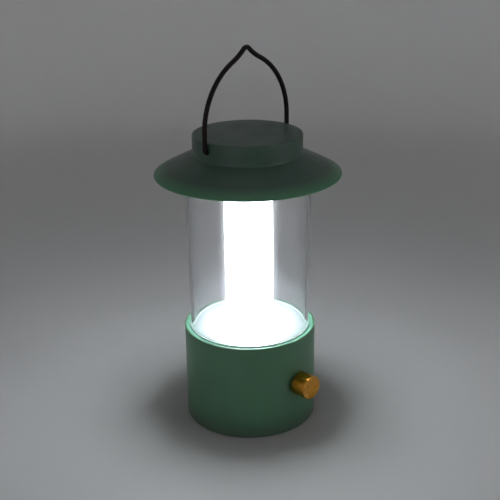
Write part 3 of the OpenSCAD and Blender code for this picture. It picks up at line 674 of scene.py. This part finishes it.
def make_drum():
    """The drum's wall with its rounded rim, and its openings.

    They are for the dimmer, the charge light, the port cover's pin and the port.
    """
    edge = 0.6
    foot_edge = 0.3
    port_half_w = 3.1
    port_end_r = 2.7
    bushing_hole_r = 3.6
    pipe_gap = 0.02
    cut_reach = 3
    foot_z = drum_low.z + foot_edge
    rim_z = drum_high.z - edge
    profile = arc(drum_r - foot_edge, foot_z, foot_edge, -90, 0, 4)
    profile += line((drum_r, foot_z), (drum_r, rim_z), 12)[1:]
    profile += arc(drum_r - edge, rim_z, edge, 0, 90, 6)[1:]
    profile += arc(drum_in_r + edge, rim_z, edge, 90, 180, 6)
    profile += line((drum_in_r, rim_z), (drum_in_r, drum_low.z), 12)[1:]
    drum = lathe("drum_wall", profile, segments=256)
    port_low, port_high = low_high("port_cover")
    port_z = (port_low.z + port_high.z) / 2
    pipe_low, pipe_high = low_high("charge_light_pipe")
    pipe_r = (pipe_high.x - pipe_low.x) / 2
    pipe_z = pipe_high.z - pipe_r
    inside = drum_in_r - cut_reach
    outside = drum_r + cut_reach
    # The wall curves forward beside the port, so the pin's hole starts further in
    pin_inside = inside - cut_reach
    holes = bmesh.new()
    rod(holes, bushing_hole_r, (0, -inside, knob_z), (0, -outside, knob_z))
    rod(holes, pipe_r + pipe_gap, (0, inside, pipe_z), (0, outside, pipe_z))
    rod(holes, PORT_PIN_R, (PORT_PIN_X, pin_inside, port_z), (PORT_PIN_X, outside, port_z))
    cut_away(drum, new_object("drum_holes", holes))
    port = bmesh.new()
    stadium(port, port_half_w, port_end_r, inside, outside, port_z)
    cut_away(drum, new_object("port_hole", port))
    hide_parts("base_shell")
    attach(drum, "lantern")
    # Its paint is painted darker towards the foot, a painted shade
    use(drum, green)


def tube_profile(foot, top, wall, rim, wall_steps, rim_steps):
    """The outline of a tube from foot to top, each an outer (radius, height), with round rims."""
    (foot_r, z0), (top_r, z1) = foot, top
    low, high = z0 + rim, z1 - rim
    profile = line((foot_r, low), (top_r, high), wall_steps)
    profile += arc(top_r - rim, high, rim, 0, 90, rim_steps)[1:]
    profile += arc(top_r - wall + rim, high, rim, 90, 180, rim_steps)
    profile += line((top_r - wall, high), (foot_r - wall, low), wall_steps)[1:]
    profile += arc(foot_r - wall + rim, low, rim, 180, 270, rim_steps)[1:]
    profile += arc(foot_r - rim, low, rim, 270, 360, rim_steps)[:-1]
    return profile


def make_chimney():
    """The clear tapered chimney, its two rims polished round."""
    low, high = low_high("chimney")
    margin = 0.1
    inner_foot_r, foot_r = radii_of("chimney", low.z - margin, low.z + margin)
    top_r = radii_of("chimney", high.z - margin, high.z + margin)[1]
    profile = tube_profile((foot_r, low.z), (top_r, high.z), wall=foot_r - inner_foot_r, rim=0.7,
                           wall_steps=16, rim_steps=6)
    chimney = lathe("chimney_tube", profile, segments=256)
    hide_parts("chimney")
    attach(chimney, "lantern")
    use(chimney, glass)


def make_diffuser():
    """The frosted sleeve round the lamps, with softly rounded ends."""
    low, high = low_high("diffuser_tube")
    inner_r, r = radii_of("diffuser_tube")
    profile = tube_profile((r, low.z), (r, high.z), wall=r - inner_r, rim=0.5,
                           wall_steps=24, rim_steps=5)
    sleeve = lathe("diffuser_sleeve", profile, segments=128)
    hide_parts("diffuser_tube")
    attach(sleeve, "lantern")
    use(sleeve, diffuser)


def make_knob():
    """The turned brass knob: a chamfer painted brighter as a painted highlight, a shallow dished face, and a
    hollow back.

    The back has room for the nut and a bore for the shaft.
    """
    r = (knob_high.x - knob_low.x) / 2
    length = knob_high.y - knob_low.y
    chamfer = 0.7
    rim_w = 1.0
    dish = 0.22
    dish_slope_w = 0.4
    back_edge = 0.35
    hollow_r = 6.6
    hollow_depth = 3.55
    bore_r = 3.0
    bore_depth = 8.75
    screw_gap = 0.02
    screw_reach = 12
    face_z = length - dish
    profile = line((0, face_z), (r - chamfer - rim_w - dish_slope_w, face_z), 6)
    profile += [(r - chamfer - rim_w, length)]
    profile += [(r - chamfer, length)]
    profile += arc(r - chamfer, length - chamfer, chamfer, 90, 0, 6)[1:]
    profile += line((r, length - chamfer), (r, back_edge), 6)[1:]
    profile += arc(r - back_edge, back_edge, back_edge, 0, -90, 4)[1:]
    profile += [(hollow_r, 0), (hollow_r, hollow_depth)]
    profile += [(bore_r, hollow_depth), (bore_r, bore_depth), (0, bore_depth)]
    knob = lathe("knob_cap", profile, segments=128, smooth_angle=28)
    place = Matrix.Translation((0, knob_high.y * MM, knob_z * MM))
    knob.data.transform(place @ Matrix.Rotation(math.pi / 2, 4, "X"))
    screw_low, screw_high = low_high("knob_set_screw")
    screw_y = (screw_low.y + screw_high.y) / 2
    screw_r = (screw_high.x - screw_low.x) / 2
    hole = bmesh.new()
    rod(hole, screw_r + screw_gap, (0, screw_y, knob_z - screw_reach), (0, screw_y, knob_z))
    cut_away(knob, new_object("knob_hole", hole))
    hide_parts("knob")
    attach(knob, "knob")
    use(knob, brass)


def bail_route():
    """The bail's centreline in XZ from one pin to the other.

    Each half is a pin, a foot bend, a leg, a side arc, a reversed arc and half the tip.
    """
    leg_x = 37.1
    foot_bend = 2.1
    pin_end = 31.4
    leg_top = 201
    side_r = 44.5
    reverse_r = 40
    side = math.radians(64)
    reverse = math.radians(17)
    side_x = leg_x - side_r
    end = Vector((side_x + side_r * math.cos(side), leg_top + side_r * math.sin(side)))
    centre = end + reverse_r * Vector((math.cos(side), math.sin(side)))
    last = side - reverse
    tip_start = centre - reverse_r * Vector((math.cos(last), math.sin(last)))
    tip_r = tip_start.x / math.cos(last)
    tip_z = tip_start.y - tip_r * math.sin(last)
    side_deg, last_deg = math.degrees(side), math.degrees(last)
    half = line((pin_end, pivot_z), (leg_x - foot_bend, pivot_z), 4)
    half += arc(leg_x - foot_bend, pivot_z + foot_bend, foot_bend, -90, 0, 10)[1:]
    half += line(half[-1], (leg_x, leg_top), 6)[1:]
    half += arc(side_x, leg_top, side_r, 0, side_deg, 30)[1:]
    half += arc(centre.x, centre.y, reverse_r, 180 + side_deg, 180 + last_deg, 14)[1:]
    half += arc(0, tip_z, tip_r, last_deg, 90, 10)[1:]
    return half + [(-x, z) for x, z in reversed(half[:-1])]


def make_bail():
    """The bent wire, swept round its route, with a small chamfer at the end of each pin."""
    r = (bail_high.y - bail_low.y) / 2
    sides = 32
    chamfer = 0.35
    across = Vector((0, 1, 0))
    turns = [2 * math.pi * k / sides for k in range(sides)]
    points = [Vector((x, 0, z)) for x, z in bail_route()]
    last = len(points) - 1
    bm = bmesh.new()
    rings = []
    for i, p in enumerate(points):
        along = (points[min(i + 1, last)] - points[max(i - 1, 0)]).normalized()
        up = along.cross(across)
        ring_r = r - chamfer if i in (0, last) else r
        offsets = (ring_r * (math.cos(a) * across + math.sin(a) * up) for a in turns)
        rings.append([bm.verts.new(p + offset) for offset in offsets])
    close_row(bm, rings)
    bail = new_object("bail_wire", bm, 50)
    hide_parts("bail")
    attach(bail, "bail")
    use(bail, wire_coat)


def make_foot():
    """The rubber foot: a ring with rounded edges and a groove round its sole."""
    low, high = low_high("foot_ring")
    r0, r1 = radii_of("foot_ring")
    edge = 0.45
    groove = 0.5
    middle = (r0 + r1) / 2
    profile = arc(r0 + edge, low.z + edge, edge, 180, 270, 5)
    profile += arc(middle, low.z, groove, 180, 0, 8)
    profile += arc(r1 - edge, low.z + edge, edge, -90, 0, 5)
    profile += [(r1, high.z), (r0, high.z)]
    foot = lathe("foot_rubber", profile)
    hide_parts("foot_ring")
    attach(foot, "lantern")
    use(foot, rubber)


def bent_pad(bm, x0, x1, half_h, r0, r1, middle, edge=0.3, corner=1.2):
    """A rubber pad in bm with rounded edges, laid round the drum's back.

    It runs from x0 to x1 and between two radii, half_h up and down from the height middle.
    """
    bevel = 0.3 * edge
    turn = [math.radians(a) for a in range(0, 91, 15)]
    inset = [(corner * (1 - math.cos(a)), corner * (1 - math.sin(a))) for a in turn]
    between = line((x0 + corner, 0), (x1 - corner, 0), 12)[1:-1]
    columns = [(x0 + along, half_h - down, along) for along, down in inset]
    columns += [(x, half_h, corner) for x, _ in between]
    columns += [(x1 - along, half_h - down, along) for along, down in reversed(inset)]
    rings = []
    for x, h, from_end in columns:
        top = r1 - max(0, edge - from_end)
        section = [(r0, -h), (top - edge, -h), (top - bevel, bevel - h), (top, edge - h),
                   (top, h - edge), (top - bevel, h - bevel), (top - edge, h), (r0, h)]
        rings.append([bm.verts.new((x, math.sqrt(r * r - x * x), middle + z)) for r, z in section])
    close_row(bm, rings)


def make_port_cover():
    """The port's cover, one moulded rubber piece.

    It has an anchor with its barbed pin, the bending strip, the flap, its plug and a finger lip.
    """
    flap_low, flap_high = low_high("port_cover")
    anchor_low, anchor_high = low_high("port_cover_anchor")
    flap_half_h = (flap_high.z - flap_low.z) / 2
    anchor_half_h = (anchor_high.z - anchor_low.z) / 2
    middle = (flap_low.z + flap_high.z) / 2
    pad_t = 1.4
    back_r = drum_r + 0.25
    face_r = back_r + pad_t
    anchor_back_r = drum_r + 0.01
    lip_w = 1.6
    lip_h = 0.9
    lip_sunk = 0.5
    lip_inset = 1
    strip_back_r = back_r + 0.1
    strip_t = 0.6
    strip_half_h = 2.4
    strip_overlap = 0.6
    plug_half_w = 2.75
    plug_end_r = 2.35
    plug_depth = 1.1
    plug_sunk = 0.6
    pin_gap = 0.02
    pin_sunk = 1
    barb_r = 2.1
    barb_t = 1.4
    bm = bmesh.new()
    bent_pad(bm, flap_low.x, flap_high.x, flap_half_h, back_r, face_r, middle)
    bent_pad(bm, flap_high.x - lip_w, flap_high.x, flap_half_h - lip_inset,
             face_r - lip_sunk, face_r + lip_h, middle, corner=0.6)
    bent_pad(bm, anchor_low.x, anchor_high.x, anchor_half_h, anchor_back_r, drum_r + pad_t, middle)
    bent_pad(bm, anchor_high.x - strip_overlap, flap_low.x + strip_overlap, strip_half_h,
             strip_back_r, strip_back_r + strip_t, middle, edge=0.15, corner=0.2)
    stadium(bm, plug_half_w, plug_end_r, back_r - plug_depth, back_r + plug_sunk, middle)
    pin_y = math.sqrt((drum_in_r - barb_t) ** 2 - PORT_PIN_X ** 2)
    pin_start = (PORT_PIN_X, pin_y, middle)
    rod(bm, PORT_PIN_R - pin_gap, pin_start, (PORT_PIN_X, drum_r - pin_sunk, middle), segments=32)
    rod(bm, barb_r, pin_start, (PORT_PIN_X, pin_y + barb_t, middle), segments=32)
    flap = new_object("port_flap", bm, 40)
    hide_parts("port_cover", "port_cover_anchor")
    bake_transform(flap)
    use(flap, rubber)


# ---------------------------------------------------------------- stage, light and camera


def make_stage():
    """A pale floor that sweeps up into a round backdrop, with room for the camera inside it."""
    flat_r = 760
    sweep_r = 260
    wall_top = 1500
    profile = line((0, 0), (flat_r, 0), 8)
    profile += arc(flat_r, sweep_r, sweep_r, -90, 0, 16)[1:]
    profile += [(flat_r + sweep_r, wall_top)]
    bm = bmesh.new()
    rings = rings_about_axis(bm, profile, segments=96)
    for one, other in zip(rings, rings[1:]):
        bridge(bm, one, other)
    floor = new_object("floor", bm, 60)
    floor.data.materials.append(pale_floor("floor_pale"))


def soft_light(name, place, aim, size, watts, spread):
    """A round soft light that the camera doesn't see; its beam is spread degrees wide."""
    data = bpy.data.lights.new(name, "AREA")
    data.shape = "DISK"
    data.size = size
    data.energy = watts
    data.spread = math.radians(spread)
    light = bpy.data.objects.new(name, data)
    light.location = place
    light.rotation_mode = "QUATERNION"
    light.rotation_quaternion = (Vector(aim) - Vector(place)).to_track_quat("-Z", "Y")
    light.visible_camera = False
    bpy.context.scene.collection.objects.link(light)


def make_lights():
    """Soft studio light: a dim world, a faint broad light overhead and a low one on each side."""
    world = bpy.data.worlds.new("studio")
    world.use_nodes = True
    sky = world.node_tree.nodes["Background"]
    sky.inputs["Color"].default_value = (0.98, 0.99, 1.0, 1)
    sky.inputs["Strength"].default_value = 0.108
    bpy.context.scene.world = world
    middle = (0, 0, 0.1)
    soft_light("overhead", (0.1, 0.1, 1.3), (0, 0, 0), size=1.1, watts=0.47, spread=180)
    soft_light("left", (-0.85, -0.2, 0.3), middle, size=0.6, watts=0.26, spread=110)
    soft_light("right", (0.35, -0.85, 0.3), middle, size=0.6, watts=0.40, spread=110)


def make_camera():
    """The camera at the viewing angle: its place round the lantern, and its tilt, turn and roll."""
    azimuth = math.radians(-46)
    distance = 0.6135
    height = 0.3519
    pitch = math.radians(21.03)
    yaw = math.radians(0.068)
    roll = math.radians(-0.74)
    level = math.cos(pitch)
    forward = Vector((math.sin(yaw) * level, math.cos(yaw) * level, -math.sin(pitch)))
    right = Vector((math.cos(yaw), -math.sin(yaw), 0))
    up = right.cross(forward)
    rolled_right = math.cos(roll) * right + math.sin(roll) * up
    rolled_up = math.cos(roll) * up - math.sin(roll) * right
    axes = Matrix((rolled_right, rolled_up, -forward)).transposed().to_4x4()
    data = bpy.data.cameras.new("camera")
    data.lens = 72
    data.sensor_width = 36
    camera = bpy.data.objects.new("camera", data)
    place = Matrix.Translation((0, -distance, height))
    camera.matrix_world = Matrix.Rotation(azimuth, 4, "Z") @ place @ axes
    bpy.context.scene.collection.objects.link(camera)
    bpy.context.scene.camera = camera


# ---------------------------------------------------------------- the scene

make_camera()
dress_cad_nodes()
make_hat()
make_drum()
make_chimney()
make_diffuser()
make_knob()
make_bail()
make_foot()
make_port_cover()
make_stage()
make_lights()
bpy.context.scene.view_settings.view_transform = "Standard"
